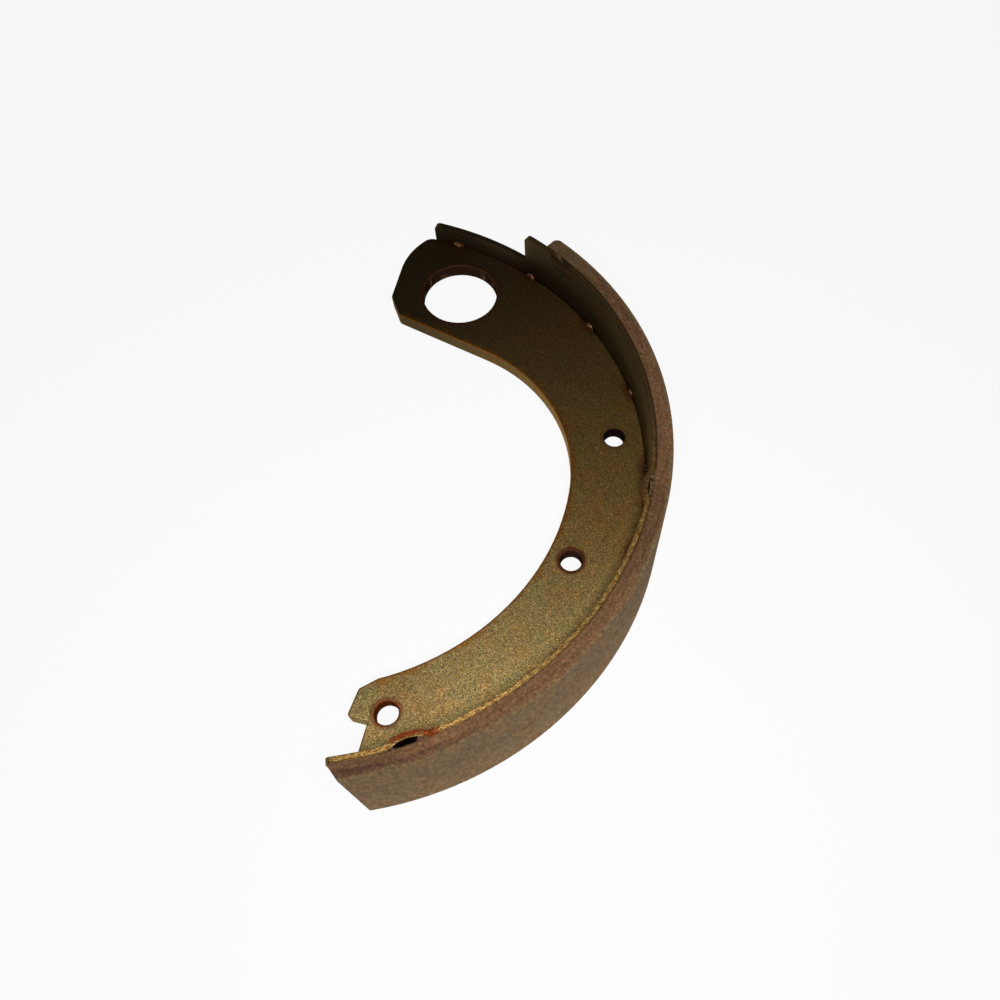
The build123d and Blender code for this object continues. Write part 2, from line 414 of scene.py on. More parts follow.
def finish_web():
    finish, tree, place = new_finish("zinc_plated_web")
    spot = where(tree, place)
    x, y, _, _, angle = spot
    colour, rough, lean = plating(tree, place, angle, warmth=1.0)
    patches = grain(tree, place, PATCH, detail=4.0, roughness=0.6, seed=6.3)
    colour, wall = web_faces(tree, spot, colour, patches)
    colour, bare = web_holes(tree, place, x, y, colour, patches)
    # the press tool drags fine upright scratches down the sheared walls
    drag = grain(tree, place, TOOL_DRAG, detail=2.0, stretch=(1, 1, 0.12))
    shine_metal(tree, colour, rough, lean, times(tree, drag, wall), DRAG_DEPTH, bare)
    return finish


for slot in web.material_slots:
    slot.material = finish_web()
print("web:", len(web.data.polygons), "faces,", web.material_slots[0].material.name)

# %% [markdown]
# The table is thin strip, sheared along both sides. Its upper edge catches the light as a broken
# line of gold and orange, where the plating has piled up on the shear marks, with a dark line beside
# it where the bond soaked in. Modelled marks would take thousands of faces; noise that runs along
# the unrolled arc gives the same line. The nibs were pushed in by a ball punch, so the distance from
# the ball's centre finds the pocket behind each, which is painted dark as shade. The bent metal has
# gone red brown, most of all at the toe. Down in the corner above the web, painted shade makes the
# strip almost black.

# %% The table's sheared edge
EDGE_GOLD, EDGE_ORANGE, EDGE_DARK = (0.47, 0.29, 0.095), (0.19, 0.092, 0.024), (0.17, 0.105, 0.050)
BOND_SOAKED = (0.13, 0.07, 0.025)
# angles over which the edge grows brighter, and then darker
EDGE_BRIGHTENS, EDGE_DARKENS = (-14.0, 4.0), (4.0, 40.0)


def sheared_edge(tree, radius, angle, broken):
    """The edge's colour: a broken gold and orange, darker towards the anchor and at its sides."""
    edge = tint(tree, EDGE_ORANGE, EDGE_GOLD, fade(tree, broken, 0.40, 0.60))
    edge = shade(tree, edge, fade(tree, angle, *EDGE_BRIGHTENS, low=1.0, high=1.45))
    edge = tint(tree, edge, EDGE_DARK, fade(tree, angle, *EDGE_DARKENS, high=0.9))
    soaked = fade(tree, radius, TABLE_OUTER - 0.75 * MM, TABLE_OUTER - 0.30 * MM, high=0.85)
    edge = tint(tree, edge, BOND_SOAKED, soaked)
    inner_side = fade(tree, radius, TABLE_INNER + 0.1 * MM, TABLE_INNER + 0.6 * MM, low=0.62, high=1.0)
    return shade(tree, edge, inner_side)


print("the strip is", round((TABLE_OUTER - TABLE_INNER) / MM, 1), "mm thick")

# %% The nibs and their pockets
NIB_RED, PAINTED_POCKET_SHADE = (0.17, 0.036, 0.011), (0.026, 0.015, 0.010)
# the ball that cuts a circle of this half length at this depth
NIB_BALL = (NIB_HALF_LENGTH ** 2 + NIB_DEPTH ** 2) / (2 * NIB_DEPTH)
# a shoulder's stain comes in and goes over these angles, counted from its nib
SHOULDER_BEGINS, SHOULDER_ENDS = (1.6, 2.8), (5.2, 4.2)
# the stain comes in over these heights, is weaker away from the toe and weakest near the anchor
STAIN_RISES, STAIN_FADES, STAIN_FADES_MORE = (35 * MM, 42 * MM), (-34.0, 0.0), (25.0, 60.0)


def nib_pockets(tree, place, z, colour):
    """Paints shade into the pocket behind each nib."""
    under_edge = fade(tree, z, SHOE_WIDTH - 0.02 * MM, SHOE_WIDTH - 0.15 * MM)
    for nib_angle in NIB_ANGLES:
        reach, turn = TABLE_OUTER - NIB_DEPTH + NIB_BALL, math.radians(nib_angle)
        middle = (reach * math.cos(turn), reach * math.sin(turn), SHOE_WIDTH)
        away = put(tree, "ShaderNodeVectorMath", {0: place, 1: middle}, operation="DISTANCE")
        pocket = fade(tree, away.outputs["Value"], NIB_BALL + 0.35 * MM, NIB_BALL + 0.1 * MM)
        colour = tint(tree, colour, PAINTED_POCKET_SHADE, times(tree, pocket, under_edge))
    return colour


def nib_stain(tree, z, radius, angle, broken):
    """1 where the metal was bent, at each nib and on its shoulder towards the anchor."""
    bent = fade(tree, radius, TABLE_INNER - 0.1 * MM, TABLE_INNER - 0.7 * MM)
    near_edge = fade(tree, z, SHOE_WIDTH - 2.5 * MM, SHOE_WIDTH - 0.8 * MM)
    for nib_angle in NIB_ANGLES:
        beyond = calc(tree, "SUBTRACT", angle, nib_angle)
        shoulder = times(tree, fade(tree, beyond, *SHOULDER_BEGINS), fade(tree, beyond, *SHOULDER_ENDS))
        bent = calc(tree, "MAXIMUM", bent, times(tree, shoulder, near_edge))
    return times(tree, bent, fade(tree, z, *STAIN_RISES), fade(tree, broken, 0.2, 0.5, low=0.5),
                 fade(tree, angle, *STAIN_FADES, low=1.0, high=0.3),
                 fade(tree, angle, *STAIN_FADES_MORE, low=1.0, high=0.35))


print("the punch's ball:", round(NIB_BALL / MM, 1), "mm in radius")

# %% The table's finish, put on
SHEAR_MARKS, SHEAR_DEPTH = 0.5 * MM, 0.10 * MM
TABLE_SCORCH_REACH = 6.0 * MM
# multiplied over the plating, from the first of these angles on
COOLER, COOLS = (0.95, 1.06, 1.25), (10.0, 40.0)
# the corner over the web, painted as shade: its level higher up and down in it, and the stretch where it
# opens out
CORNER_SHADES, CORNER_OPENS = (0.47, 0.28), (78.0, 84.0)


def finish_table():
    finish, tree, place = new_finish("zinc_plated_table")
    _, _, z, radius, angle = where(tree, place)
    colour, rough, lean = plating(tree, place, angle, warmth=0.0)
    colour = tint(tree, colour, COOLER, fade(tree, angle, *COOLS), "MULTIPLY")
    inside = fade(tree, radius, TABLE_OUTER - 0.3 * MM, TABLE_OUTER - 0.6 * MM)
    welds = near_welds(tree, radius, angle, z, TABLE_SCORCH_REACH)
    colour = tint(tree, colour, SCORCH, times(tree, welds, inside))
    # painted shade: the strip's inner face is darkened down in the corner over the web
    corner = fade(tree, z, WEB_UPPER + 12 * MM, WEB_UPPER + 5 * MM, *CORNER_SHADES)
    corner = times(tree, corner, fade(tree, angle, *CORNER_OPENS, low=1.0, high=2.1))
    colour = shade(tree, colour, pick(tree, 1.0, corner, inside))
    arc = unrolled(tree, radius, angle, z, TABLE_OUTER)
    broken = grain(tree, arc, SHEAR_MARKS, detail=3.0, roughness=0.7, stretch=(1, 0.3, 1), seed=1.3)
    sheared = fade(tree, z, SHOE_WIDTH - 0.35 * MM, SHOE_WIDTH - 0.1 * MM)
    colour = tint(tree, colour, sheared_edge(tree, radius, angle, broken), sheared)
    colour = nib_pockets(tree, place, z, colour)
    colour = tint(tree, colour, NIB_RED, nib_stain(tree, z, radius, angle, broken))
    shine_metal(tree, colour, rough, lean, times(tree, broken, sheared), SHEAR_DEPTH)
    return finish


for slot in table.material_slots:
    slot.material = finish_table()
print("table:", len(table.data.polygons), "faces,", table.material_slots[0].material.name)

# %% [markdown]
# ## The lining
#
# The lining is fibres and fillers, moulded with resin and baked. Its drum face was ground, so it is
# an even brown with soft blotches, small pits and a few dark grains. Its sides were left as they came
# from the mould: a little redder, faintly streaked along the arc, darker where a hand held them, and
# smudged purple brown towards the toe. It has no gloss to speak of, so the work is in the colour:
# clouds of two sizes, a fine grain and dark specks. The border between side and drum face wanders,
# because the corner is soft. A texture painted by hand would show the same; noise needs no seams.

# %% The lining's sides
SIDE_RED, SIDE_DARK, SIDE_PALE = (0.142, 0.073, 0.033), (0.055, 0.026, 0.013), (0.215, 0.130, 0.070)
SMUDGE, STREAK, MOTTLE = (0.065, 0.028, 0.020), 1.0 * MM, 2.2 * MM
# multiplied over the side towards the anchor
LESS_RED, LESS_RED_OVER = (0.90, 1.06, 1.08), (60.0, 71.0)
# angles: darker and smudged towards the toe, and darker where a hand held the shoe
TOE_DARKENS, TOE_SMUDGED = (-38.0, -52.0), (-26.0, -46.0)
HELD_BEGINS, HELD_ENDS = (-8.0, 10.0), (20.0, 14.0)


def lining_side(tree, place, z, radius, angle, blotches, fibres, border):
    """The colour of the sides as they came from the mould, with the marks of handling."""
    side = tint(tree, SIDE_RED, SIDE_DARK, fade(tree, blotches, 0.52, 0.76, high=0.6))
    side = tint(tree, side, SIDE_PALE, fade(tree, fibres, 0.50, 0.72, high=0.45))
    arc = unrolled(tree, radius, angle, z, DRUM_RADIUS)
    streaks = grain(tree, arc, STREAK, detail=3.0, roughness=0.6, stretch=(1, 0.12, 1), seed=3.1)
    side = shade(tree, side, fade(tree, streaks, 0.3, 0.7, low=0.80, high=1.20))
    side = shade(tree, side, fade(tree, angle, *TOE_DARKENS, low=1.0, high=0.70))
    side = tint(tree, side, LESS_RED, fade(tree, angle, *LESS_RED_OVER), "MULTIPLY")
    held = times(tree, fade(tree, angle, *HELD_BEGINS), fade(tree, angle, *HELD_ENDS))
    side = shade(tree, side, fade(tree, held, 0.0, 1.0, low=1.0, high=0.73))
    mottle = grain(tree, place, MOTTLE, detail=4.0, roughness=0.7, seed=9.4)
    smudged = times(tree, fade(tree, border, DRUM_RADIUS - 3.6 * MM, DRUM_RADIUS - 2.2 * MM),
                    fade(tree, angle, *TOE_SMUDGED), fade(tree, mottle, 0.42, 0.60, high=0.75))
    return tint(tree, side, SMUDGE, smudged)


print("the lining is", round((DRUM_RADIUS - TABLE_OUTER) / MM, 1), "mm thick")

# %% The lining's drum face
FACE_BROWN, FACE_GREY = (0.245, 0.145, 0.062), (0.203, 0.136, 0.068)
FACE_GRAIN, FACE_BRIGHTENS = 1.3 * MM, (-44.0, -8.0)


def drum_face(tree, place, z, angle, blotches, up):
    """The colour of the ground face: paler low down and towards the anchor, finely mottled."""
    face = tint(tree, FACE_BROWN, FACE_GREY, fade(tree, blotches, 0.36, 0.64))
    face = shade(tree, face, fade(tree, z, 30 * MM, 4 * MM, low=0.94, high=1.14))
    # painted shade: where the face's colour reaches onto the upward top, it is darkened
    face = shade(tree, face, fade(tree, up, 0.2, 0.9, low=1.0, high=0.72))
    face = shade(tree, face, fade(tree, angle, *FACE_BRIGHTENS, low=0.94, high=1.07))
    # a grain that lies across the face, as the grinding left it
    across = grain(tree, place, FACE_GRAIN, detail=3.0, roughness=0.6, stretch=(1, 1, 0.4), seed=7.2)
    return shade(tree, face, fade(tree, across, 0.30, 0.70, low=0.76, high=1.24))


print("the drum face is", round(SHOE_WIDTH / MM, 2), "mm wide")

# %% The lining's finish, put on
BLOTCH, FIBRE, FLECK, SPECK = 9 * MM, 0.9 * MM, 0.8 * MM, 1.3 * MM
SPECK_DARK, BOND_LINE_AND_POCKET_SHADE = (0.045, 0.028, 0.022), (0.03, 0.018, 0.012)
RED_FLECK, GREEN_FLECK = (1.12, 0.97, 0.93), (0.94, 1.01, 1.0)
# how far the border of the drum face wanders, and how deep pits and fibres go
WANDER, PIT_DEPTH = 3.5 * MM, 0.06 * MM


def finish_lining():
    finish, tree, place = new_finish("moulded_lining")
    _, _, z, radius, angle = where(tree, place)
    up = upward(tree)
    blotches = grain(tree, place, BLOTCH, detail=4.0, roughness=0.6)
    fibres = grain(tree, place, FIBRE, detail=4.0, roughness=0.75, seed=2.2)
    flecks = grain(tree, place, FLECK, detail=2.0, seed=6.6)
    specks = grain(tree, place, SPECK, detail=1.0, seed=5.9)
    wander = calc(tree, "MULTIPLY", calc(tree, "SUBTRACT", blotches, 0.5), WANDER)
    border = calc(tree, "ADD", radius, wander)
    side = lining_side(tree, place, z, radius, angle, blotches, fibres, border)
    face = drum_face(tree, place, z, angle, blotches, up)
    on_face = fade(tree, border, DRUM_RADIUS - 1.5 * MM, DRUM_RADIUS - 0.1 * MM)
    colour = tint(tree, side, face, on_face)
    colour = tint(tree, colour, SPECK_DARK, fade(tree, specks, 0.66, 0.76, high=0.6))
    colour = shade(tree, colour, fade(tree, fibres, 0.3, 0.7, low=0.70, high=1.30))
    colour = tint(tree, colour, RED_FLECK, fade(tree, flecks, 0.52, 0.66), "MULTIPLY")
    colour = tint(tree, colour, GREEN_FLECK, fade(tree, flecks, 0.48, 0.34), "MULTIPLY")
    # a dark bond line on the top, and painted shade, near black, on the lining's wall inside the nibs'
    # pockets
    bond = times(tree, fade(tree, radius, TABLE_OUTER + 0.35 * MM, TABLE_OUTER + 0.05 * MM),
                 fade(tree, up, 0.3, 0.8, low=0.9, high=0.5))
    colour = tint(tree, colour, BOND_LINE_AND_POCKET_SHADE, bond)
    height = calc(tree, "SUBTRACT", fibres, fade(tree, specks, 0.62, 0.75))
    shine(tree, {"Base Color": colour, "Roughness": 0.85, "Specular IOR Level": 0.12,
                 "Normal": bumped(tree, height, PIT_DEPTH)})
    return finish


for slot in lining.material_slots:
    slot.material = finish_lining()
print("lining:", len(lining.data.polygons), "faces,", lining.material_slots[0].material.name)

# %% [markdown]
# ## Weld beads
#
# Short welds hold the web to the table, at an even pitch on both faces of the web. The CAD model
# has each as a plain faceted bar. A real bead is a frozen puddle: a smooth lump, never the same
# twice. Geometry Nodes suit it, because the rule is simple: one lump at each station. The tree makes
# an ico sphere for each station and lets its points travel out from a spot inside the corner until
# they meet the table, the web or the bead's own round back, which noise dents a little. Squashing a
# sphere against the steel would be simpler, but it folds the mesh over itself; this keeps it closed.

# %% Finish of the weld beads
WELD_BRONZE, WELD_RED = (0.24, 0.15, 0.07), (0.07, 0.018, 0.008)
WELD_SCALE, WELD_SCALE_DEPTH = 1.2 * MM, 0.08 * MM
# the beads towards the toe are the darkest
WELDS_DARKEN = (72.0, 45.0)


def finish_welds():
    finish, tree, place = new_finish("weld_metal")
    angle = where(tree, place)[-1]
    scale = grain(tree, place, WELD_SCALE, detail=2.0, seed=4.4)
    colour = tint(tree, WELD_BRONZE, WELD_RED, fade(tree, scale, 0.45, 0.60))
    colour = shade(tree, colour, fade(tree, angle, *WELDS_DARKEN, low=1.0, high=0.35))
    shine(tree, {"Base Color": colour, "Metallic": 0.8, "Roughness": 0.48, "Specular IOR Level": 0.2,
                 "Specular Tint": GRAZING_TINT, "Normal": bumped(tree, scale, WELD_SCALE_DEPTH)})
    return finish


weld_finish = finish_welds()
print("weld finish:", weld_finish.name)

# %% Helpers for Geometry Nodes trees
def new_tree(name, wanted):
    """A tree that takes these inputs: the tree, its inputs' identifiers, and the inputs to link."""
    tree = bpy.data.node_groups.new(name, "GeometryNodeTree")
    sockets = {label: tree.interface.new_socket(label, in_out="INPUT", socket_type=kind).identifier
               for label, kind in wanted}
    tree.interface.new_socket("Geometry", in_out="OUTPUT", socket_type="NodeSocketGeometry")
    return tree, sockets, put(tree, "NodeGroupInput").outputs


def round_the_axis(tree, radius, angle, z):
    """The place at this radius and angle about the drum's axis, at the height z."""
    return vector(tree, calc(tree, "MULTIPLY", calc(tree, "COSINE", angle), radius),
                  calc(tree, "MULTIPLY", calc(tree, "SINE", angle), radius), z)


def end_tree(tree, geometry, finish):
    """Ends a tree: real geometry in place of instances, with its finish on."""
    whole = put(tree, "GeometryNodeRealizeInstances", {"Geometry": geometry})
    dressed = put(tree, "GeometryNodeSetMaterial", {"Geometry": whole.outputs[0], "Material": finish})
    put(tree, "NodeGroupOutput", {"Geometry": dressed.outputs[0]})


NUMBER, WHOLE_NUMBER = "NodeSocketFloat", "NodeSocketInt"
print("kinds of input:", NUMBER, WHOLE_NUMBER)

# %% One ball at every station
# the smallest and the largest bead, as shares of the CAD weld's leg, half length and leg
SMALLEST, LARGEST = (0.85, 0.8, 0.85), (1.1, 1.1, 1.1)
BALL_SUBDIVISIONS = 4


def remember(tree, geometry, name, value, kind):
    """Keeps a value on every point: returns the geometry with it, and the value to read later."""
    inputs = {"Geometry": geometry, "Name": name, "Value": value}
    kept = put(tree, "GeometryNodeStoreNamedAttribute", inputs, data_type=kind, domain="POINT")
    reader = put(tree, "GeometryNodeInputNamedAttribute", {"Name": name}, data_type=kind)
    return kept.outputs[0], reader.outputs[0]


def balls_at_stations(tree, given):
    """A ball for every bead, whose points know the bead's angle and its size."""
    stations = put(tree, "GeometryNodePoints", {"Count": given["Count"]}).outputs[0]
    index = put(tree, "GeometryNodeInputIndex").outputs[0]
    turn = calc(tree, "ADD", calc(tree, "MULTIPLY", index, given["Pitch"]), given["First angle"])
    half = vector(tree, given["Leg"], calc(tree, "MULTIPLY", given["Length"], 0.5), given["Leg"])
    inputs = {"Min": SMALLEST, "Max": LARGEST, "Seed": given["Seed"]}
    spread = put(tree, "FunctionNodeRandomValue", inputs, data_type="FLOAT_VECTOR").outputs[0]
    stations, station = remember(tree, stations, "station", turn, "FLOAT")
    bead_size = vector_calc(tree, "MULTIPLY", half, spread)
    stations, size = remember(tree, stations, "bead_size", bead_size, "FLOAT_VECTOR")
    inputs = {"Radius": 1.0, "Subdivisions": BALL_SUBDIVISIONS}
    ball = put(tree, "GeometryNodeMeshIcoSphere", inputs).outputs[0]
    balls = put(tree, "GeometryNodeInstanceOnPoints", {"Points": stations, "Instance": ball}).outputs[0]
    balls = put(tree, "GeometryNodeRealizeInstances", {"Geometry": balls}).outputs[0]
    return balls, station, size


print("beads from", [round(share * WELD_LENGTH / MM, 1) for share in (SMALLEST[1], LARGEST[1])], "mm long")

# %% The shape of a bead
# where a ball's points start from: this share of the bead's size away from table and web
SPOT = 0.4
DENT_SIZE, DENTS = 1.5 * MM, 0.5
# a point that moves away from the steel never meets it, so the divisor is kept above 0
NEARLY_ZERO = 0.001


def bead_corner_place(tree, station, size, side):
    """Where a ball's point ends: its distance from the table, along the table, and from the web."""
    way = put(tree, "GeometryNodeInputPosition").outputs[0]
    inward, _, up = parts_of(tree, way)
    # the round back is a ball about the corner itself, met from a spot that lies off its middle
    lean = calc(tree, "MULTIPLY", calc(tree, "ADD", inward, up), SPOT)
    under_root = calc(tree, "ADD", calc(tree, "MULTIPLY", lean, lean), 1.0 - 2.0 * SPOT ** 2)
    back = calc(tree, "SUBTRACT", calc(tree, "SQRT", under_root), lean)
    noise_place = vector_calc(tree, "MULTIPLY_ADD", way, size, vector(tree, station, side))
    inputs = {"Vector": noise_place, "Scale": 1 / DENT_SIZE, "Detail": 2.0}
    noise = put(tree, "ShaderNodeTexNoise", inputs).outputs["Fac"]
    dented = calc(tree, "ADD", calc(tree, "MULTIPLY", noise, DENTS), 1.0 - DENTS / 2)
    out = calc(tree, "MULTIPLY", back, dented)
    for towards in (inward, up):
        towards_steel = calc(tree, "MAXIMUM", calc(tree, "MULTIPLY", towards, -1.0), NEARLY_ZERO)
        out = calc(tree, "MINIMUM", calc(tree, "DIVIDE", SPOT, towards_steel), out)
    stretched = vector_calc(tree, "SCALE", way, Scale=out)
    moved = vector_calc(tree, "ADD", stretched, vector(tree, SPOT, 0.0, SPOT))
    return parts_of(tree, vector_calc(tree, "MULTIPLY", moved, size))


print("dents and bulges up to", 100 * DENTS / 2, "%")

# %% The tree that sets the beads
BEAD_INPUTS = (("Count", WHOLE_NUMBER), ("First angle", NUMBER), ("Pitch", NUMBER), ("Table radius", NUMBER),
               ("Level", NUMBER), ("Side", NUMBER), ("Length", NUMBER), ("Leg", NUMBER),
               ("Seed", WHOLE_NUMBER))
CREASE = math.radians(45)


def bead_tree(finish):
    tree, sockets, given = new_tree("weld_beads", BEAD_INPUTS)
    balls, station, size = balls_at_stations(tree, given)
    inward, along, up = bead_corner_place(tree, station, size, given["Side"])

    # bend the bead round the table: inward from its face, along its arc, up from the web's face
    radius = calc(tree, "SUBTRACT", given["Table radius"], inward)
    turn = calc(tree, "MULTIPLY", calc(tree, "DIVIDE", along, given["Table radius"]), given["Side"])
    z = calc(tree, "ADD", calc(tree, "MULTIPLY", up, given["Side"]), given["Level"])
    place = round_the_axis(tree, radius, calc(tree, "SUBTRACT", station, turn), z)
    beads = put(tree, "GeometryNodeSetPosition", {"Geometry": balls, "Position": place}).outputs[0]

    # smooth, but sharp where the round back meets the steel
    beads = put(tree, "GeometryNodeSetShadeSmooth", {"Geometry": beads}).outputs[0]
    fold = put(tree, "GeometryNodeInputMeshEdgeAngle").outputs["Unsigned Angle"]
    sharp = {"Geometry": beads, "Selection": calc(tree, "GREATER_THAN", fold, CREASE), "Shade Smooth": False}
    beads = put(tree, "GeometryNodeSetShadeSmooth", sharp, domain="EDGE").outputs[0]
    for name in ("station", "bead_size"):
        beads = put(tree, "GeometryNodeRemoveAttribute", {"Geometry": beads, "Name": name}).outputs[0]
    end_tree(tree, beads, finish)
    return tree, sockets


tree_of_beads, bead_sockets = bead_tree(weld_finish)
print("bead tree:", len(tree_of_beads.nodes), "nodes")

# %% [markdown]
# The tree is used twice, once for each face of the web, with `Side` turned over. Its result is then
# copied to a plain mesh, and both halves are joined to one piece that stands for the CAD welds.

# %% Make the beads on both faces of the web
def plain_mesh(name, tree, values, sockets):
    """Runs a tree on an empty carrier and returns what it makes as an ordinary mesh object."""
    carrier = bpy.data.objects.new(name, bpy.data.meshes.new(name))
    bpy.context.scene.collection.objects.link(carrier)
    modifier = carrier.modifiers.new("nodes", "NODES")
    modifier.node_group = tree
    for label, value in values.items():
        modifier[sockets[label]] = value
    evaluated = carrier.evaluated_get(bpy.context.evaluated_depsgraph_get())
    mesh = bpy.data.meshes.new_from_object(evaluated)
    carrier.modifiers.remove(modifier)
    carrier.data = mesh
    return carrier


def joined(parts, name):
    """Joins mesh objects into the first of them and names it."""
    bpy.ops.object.select_all(action="DESELECT")
    for part in parts:
        part.select_set(True)
    bpy.context.view_layer.objects.active = parts[0]
    bpy.ops.object.join()
    parts[0].name = name
    return parts[0]


bead_halves = []
for half_name, level, side, seed in (("beads_upper", WEB_UPPER, 1.0, 3), ("beads_lower", WEB_LOWER, -1.0, 8)):
    values = {"Count": WELD_COUNT, "First angle": WELD_FIRST, "Pitch": WELD_PITCH,
              "Table radius": TABLE_INNER, "Level": level, "Side": side,
              "Length": WELD_LENGTH, "Leg": WELD_LEG, "Seed": seed}
    bead_halves.append(plain_mesh(half_name, tree_of_beads, values, bead_sockets))
weld_beads = joined(bead_halves, "weld_beads")
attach(weld_beads, "root")
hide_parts("welds")
print("weld beads:", len(weld_beads.data.polygons), "faces")

# %% [markdown]
# ## Squeezed-out bond
#
# Where a nib bends the table inwards, it leaves a pocket between the table and the lining. When the
# lining was bonded under pressure, some of the adhesive ran into these pockets and set there as a
# lumpy dark ridge. It follows the pocket's half-round floor, so it is a path with a round section
# swept along it: Geometry Nodes turn a row of points into a curve, and the curve into a tube. The
# ridge is thicker towards the anchor end, where it all but closes the pocket.

# %% Finish of the bond
BOND_BROWN, BOND_DARK = (0.135, 0.072, 0.034), (0.040, 0.016, 0.010)
BOND_LUMPS, BOND_LUMP_DEPTH = 1.0 * MM, 0.12 * MM


def finish_bond():
    finish, tree, place = new_finish("dried_bond")
    lumps = grain(tree, place, BOND_LUMPS, detail=3.0, seed=7.7)
    colour = tint(tree, BOND_BROWN, BOND_DARK, fade(tree, lumps, 0.45, 0.70))
    shine(tree, {"Base Color": colour, "Roughness": 0.75, "Specular IOR Level": 0.15,
                 "Normal": bumped(tree, lumps, BOND_LUMP_DEPTH)})
    return finish


bond_finish = finish_bond()
print("bond finish:", bond_finish.name)

# %% A tube round the pocket's floor
RIDGE_SIDES = 10
# by how much the tube is thinner at its end towards the toe
RIDGE_NARROWING = 0.82


def tube_round_pocket(tree, given):
    """A row of points, bent to a half circle that hangs from the table's upper edge, made a tube."""
    row = put(tree, "GeometryNodeMeshLine", {"Count": given["Points"]}).outputs[0]
    index = put(tree, "GeometryNodeInputIndex").outputs[0]
    share = calc(tree, "DIVIDE", index, calc(tree, "SUBTRACT", given["Points"], 1.0))
    turn = calc(tree, "MULTIPLY", share, math.pi)
    along = calc(tree, "MULTIPLY", calc(tree, "COSINE", turn), given["Half length"])
    down = calc(tree, "MULTIPLY", calc(tree, "SINE", turn), given["Half length"])
    angle = calc(tree, "ADD", given["Nib angle"], calc(tree, "DIVIDE", along, given["Seat radius"]))
    path = round_the_axis(tree, given["Seat radius"], angle, calc(tree, "SUBTRACT", given["Top"], down))
    bent = put(tree, "GeometryNodeSetPosition", {"Geometry": row, "Position": path}).outputs[0]
    curve = put(tree, "GeometryNodeMeshToCurve", {"Mesh": bent}).outputs[0]
    swell = calc(tree, "SUBTRACT", 1.0, calc(tree, "MULTIPLY", share, RIDGE_NARROWING))
    thickness = calc(tree, "MULTIPLY", swell, given["Thickness"])
    curve = put(tree, "GeometryNodeSetCurveRadius", {"Curve": curve, "Radius": thickness}).outputs[0]
    section = put(tree, "GeometryNodeCurvePrimitiveCircle", {"Resolution": RIDGE_SIDES, "Radius": 1.0})
    radius = put(tree, "GeometryNodeInputRadius").outputs[0]
    inputs = {"Curve": curve, "Profile Curve": section.outputs[0], "Scale": radius, "Fill Caps": True}
    return put(tree, "GeometryNodeCurveToMesh", inputs).outputs[0]


print("a ridge has", RIDGE_SIDES, "sides")

# %% The tree that lays a ridge
RIDGE_INPUTS = (("Points", WHOLE_NUMBER), ("Nib angle", NUMBER), ("Half length", NUMBER),
                ("Seat radius", NUMBER), ("Top", NUMBER), ("Thickness", NUMBER))
LUMP_SIZE, LUMP_PUSH = 1.6 * MM, 1.2 * MM
# how far the ridge stays below the table's upper edge
BELOW_EDGE = 0.03 * MM


def ridge_tree(finish):
    tree, sockets, given = new_tree("bond_ridge", RIDGE_INPUTS)
    ridge = tube_round_pocket(tree, given)
    noise = put(tree, "ShaderNodeTexNoise", {"Scale": 1 / LUMP_SIZE, "Detail": 2.0}).outputs["Fac"]
    push = calc(tree, "MULTIPLY", calc(tree, "SUBTRACT", noise, 0.5), LUMP_PUSH)
    offset = vector_calc(tree, "SCALE", put(tree, "GeometryNodeInputNormal").outputs[0], Scale=push)
    ridge = put(tree, "GeometryNodeSetPosition", {"Geometry": ridge, "Offset": offset}).outputs[0]

    # nothing stands above the table's upper edge
    x, y, z = parts_of(tree, put(tree, "GeometryNodeInputPosition").outputs[0])
    lid = calc(tree, "MINIMUM", z, calc(tree, "SUBTRACT", given["Top"], BELOW_EDGE))
    under_lid = {"Geometry": ridge, "Position": vector(tree, x, y, lid)}
    ridge = put(tree, "GeometryNodeSetPosition", under_lid).outputs[0]
    ridge = put(tree, "GeometryNodeSetShadeSmooth", {"Geometry": ridge}).outputs[0]
    end_tree(tree, ridge, finish)
    return tree, sockets


tree_of_ridge, ridge_sockets = ridge_tree(bond_finish)
print("ridge tree:", len(tree_of_ridge.nodes), "nodes")

# %% Lay a ridge in each nib's pocket
RIDGE_POINTS, RIDGE_THICKNESS = 40, 2.0 * MM
# the tube's middle line lies this far in from the pocket's rim and from the table's outer face
FROM_RIM, FROM_FACE = 1.7 * MM, 0.25 * MM

ridges = []
for number, nib_angle in enumerate(NIB_ANGLES):
    values = {"Points": RIDGE_POINTS, "Nib angle": math.radians(nib_angle),
              "Half length": NIB_HALF_LENGTH - FROM_RIM, "Seat radius": TABLE_OUTER - FROM_FACE,
              "Top": SHOE_WIDTH, "Thickness": RIDGE_THICKNESS}
    ridges.append(plain_mesh(f"ridge_{number}", tree_of_ridge, values, ridge_sockets))
bond_ridges = joined(ridges, "bond_ridges")
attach(bond_ridges, "root")
print("bond ridges:", len(bond_ridges.data.polygons), "faces")

# %% [markdown]
# ## The studio
#
# The shoe lies on white card. A single lamp close to the camera, like a flash with a small soft box,
# lights it, and the card throws that light back on to the lining. Seen by the camera, and mirrored
# in the metal, the card is white, with a little of its real shading left in: plain white would be
# simpler, but it would lose the shadow. The room above is dim, so the plating falls dark towards the
# anchor end, and its colour is painted darker there as well, as a painted reflection of that room.

# %% White card
# the card's grey, and the share of pure white in what the camera and the metal see
CARD_GREY, WHITE_SHARE = 0.86, 0.91
CARD_HALF, CARD_DROP = 4.0, 0.2 * MM


def mirrored_or_clear(tree, rays):
    """1 for light that a glossy or a clear surface sends back to the camera."""
    return calc(tree, "MAXIMUM", rays["Is Glossy Ray"], rays["Is Transmission Ray"])


